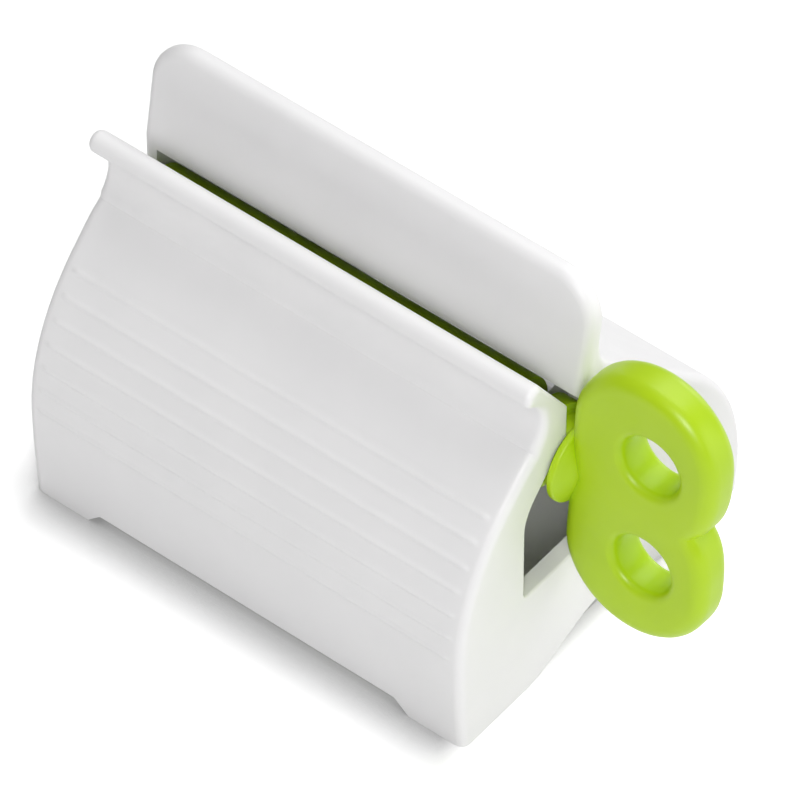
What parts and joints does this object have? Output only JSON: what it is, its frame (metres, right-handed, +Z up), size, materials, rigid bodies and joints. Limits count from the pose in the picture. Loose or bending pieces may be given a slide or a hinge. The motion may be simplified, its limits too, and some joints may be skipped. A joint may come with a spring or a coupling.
{
  "type": "toothpaste tube squeezer",
  "caption": "Free-standing toothpaste tube squeezer: a hollow seat with ribbed front, slot and rear panel, and a slotted rod turned by a butterfly key with finger holes.",
  "frame": {"origin": "middle of the outer box in X and Y, on the table that the feet stand on", "axes": "+Z up, +X along the slot towards the key, +Y from the ribbed front towards the rear flare"},
  "size_m": [0.094, 0.0588, 0.0632],
  "materials": {
    "white_plastic": "satin white, moulded",
    "green_plastic": "satin lime green, moulded"
  },
  "bodies": {
    "seat": {"seat": "white_plastic"},
    "winder": {"winding_rod": "green_plastic", "key": "green_plastic"}
  },
  "joints": [
    {"name": "key_spin", "type": "hinge", "parent": "seat", "child": "winder", "pos_m": [0.024, -0.00655, 0.037], "axis": [1, 0, 0], "continuous": true}
  ]
}
